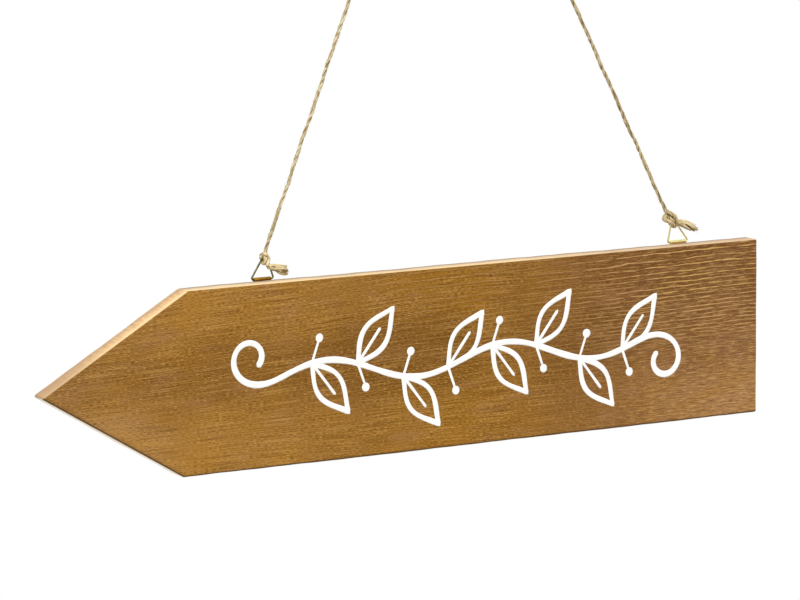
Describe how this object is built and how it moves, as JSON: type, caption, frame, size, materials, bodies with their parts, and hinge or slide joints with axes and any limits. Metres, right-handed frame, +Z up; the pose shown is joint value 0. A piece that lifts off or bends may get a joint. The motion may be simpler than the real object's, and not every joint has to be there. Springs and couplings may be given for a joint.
{
  "type": "hanging sign",
  "caption": "Arrow-shaped wooden board that hangs by brass triangle-ring hangers from a knotted twine and points the way.",
  "frame": {"origin": "seat of the twine's bight, where the peg or hook that carries the sign touches the twine from below", "axes": "+X along the board from its point to its square end, +Y from the sign's face to its back, +Z up"},
  "size_m": [0.3854, 0.013, 0.2894],
  "materials": {
    "stained_wood": "brown stain, satin, open grain",
    "brass_plate": "bright brass plating on thin steel sheet",
    "brass_wire": "brass-plated bent wire, slightly dulled",
    "screw_steel": "yellow zinc-plated steel",
    "jute_twine": "natural laid jute, fuzzy"
  },
  "bodies": {
    "suspension": {"twine": "jute_twine", "knot_left": "jute_twine", "knot_right": "jute_twine", "ring_left": "brass_wire", "ring_right": "brass_wire"},
    "sign": {"board": "stained_wood", "strap_left": "brass_plate", "strap_right": "brass_plate", "screw_left": "screw_steel", "screw_right": "screw_steel"}
  },
  "joints": [
    {"name": "sign_swing", "type": "hinge", "parent": "suspension", "child": "sign", "pos_m": [0, 0, -0.2015], "axis": [1, 0, 0], "range_deg": [-40, 150]}
  ]
}
